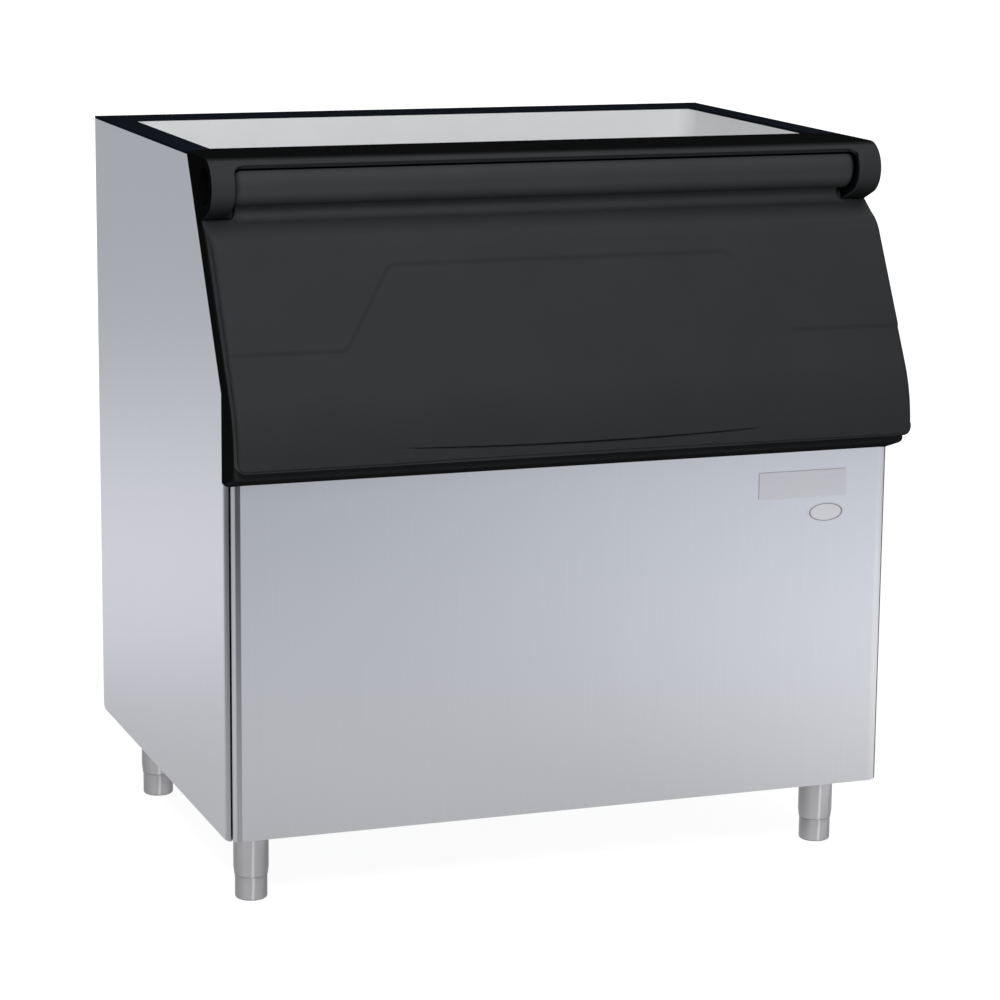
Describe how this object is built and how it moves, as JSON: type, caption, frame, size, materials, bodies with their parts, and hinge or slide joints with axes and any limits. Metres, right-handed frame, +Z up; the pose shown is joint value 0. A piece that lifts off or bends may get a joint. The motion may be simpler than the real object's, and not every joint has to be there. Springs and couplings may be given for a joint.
{
  "type": "ice storage bin",
  "caption": "Stainless ice storage bin with an open top for an ice machine, a sloped black door that swings up on a roll hinge, a drained liner and screw-in feet.",
  "frame": {"origin": "middle of the footprint's bounding box, on the floor under the feet", "axes": "+Z up, -Y towards the front where the door is, +X to the right of someone who faces the front"},
  "size_m": [1.07, 0.8926, 1.126],
  "materials": {
    "stainless": "satin",
    "black_plastic": "satin",
    "rim_plastic": "satin",
    "liner_plastic": "satin",
    "foam": "matte",
    "seal_rubber": "matte",
    "screw_steel": "satin",
    "bush_plastic": "satin",
    "drain_plastic": "satin",
    "strainer_steel": "satin",
    "badge_metal": "satin",
    "oval_plate": "satin",
    "leg_steel": "satin",
    "plate_steel": "satin"
  },
  "bodies": {
    "cabinet": {"left_side_panel": "stainless", "right_side_panel": "stainless", "front_panel": "stainless", "left_corner_post": "black_plastic", "right_corner_post": "black_plastic", "rear_panel": "stainless", "rear_panel_screws": "screw_steel", "base_panel": "stainless", "insulation": "foam", "ice_liner": "liner_plastic", "top_rim": "rim_plastic", "header_cover": "black_plastic", "header_core": "foam", "header_back": "liner_plastic", "door_frame": "black_plastic", "frame_core": "foam", "frame_screws": "screw_steel", "door_seal": "seal_rubber", "left_hinge_pin": "screw_steel", "right_hinge_pin": "screw_steel", "drain_strainer": "strainer_steel", "drain_fitting": "drain_plastic", "drain_nut": "drain_plastic", "drain_pipe": "drain_plastic", "drain_outlet": "drain_plastic", "drain_locknut": "drain_plastic", "badge_plate": "badge_metal", "oval_badge": "oval_plate", "leg_bolts": "screw_steel", "front_left_leg_plate": "plate_steel", "front_left_leg_sleeve": "leg_steel", "front_right_leg_plate": "plate_steel", "front_right_leg_sleeve": "leg_steel", "rear_left_leg_plate": "plate_steel", "rear_left_leg_sleeve": "leg_steel", "rear_right_leg_plate": "plate_steel", "rear_right_leg_sleeve": "leg_steel"},
    "door": {"door_shell": "black_plastic", "door_core": "foam", "door_inner_panel": "liner_plastic", "door_screws": "screw_steel", "left_hinge_bush": "bush_plastic", "right_hinge_bush": "bush_plastic"},
    "front_left_adjuster": {"front_left_foot": "leg_steel", "front_left_foot_stud": "plate_steel"},
    "front_right_adjuster": {"front_right_foot": "leg_steel", "front_right_foot_stud": "plate_steel"},
    "rear_left_adjuster": {"rear_left_foot": "leg_steel", "rear_left_foot_stud": "plate_steel"},
    "rear_right_adjuster": {"rear_right_foot": "leg_steel", "rear_right_foot_stud": "plate_steel"}
  },
  "joints": [
    {"name": "door_swing", "type": "hinge", "parent": "cabinet", "child": "door", "pos_m": [0, -0.2715, 1.085], "axis": [-1, 0, 0], "range_deg": [0, 157]},
    {"name": "front_left_foot_screw", "type": "slide", "parent": "cabinet", "child": "front_left_adjuster", "axis": [0, 0, -1], "range_m": [0, 0.03]},
    {"name": "front_right_foot_screw", "type": "slide", "parent": "cabinet", "child": "front_right_adjuster", "axis": [0, 0, -1], "range_m": [0, 0.03]},
    {"name": "rear_left_foot_screw", "type": "slide", "parent": "cabinet", "child": "rear_left_adjuster", "axis": [0, 0, -1], "range_m": [0, 0.03]},
    {"name": "rear_right_foot_screw", "type": "slide", "parent": "cabinet", "child": "rear_right_adjuster", "axis": [0, 0, -1], "range_m": [0, 0.03]}
  ]
}
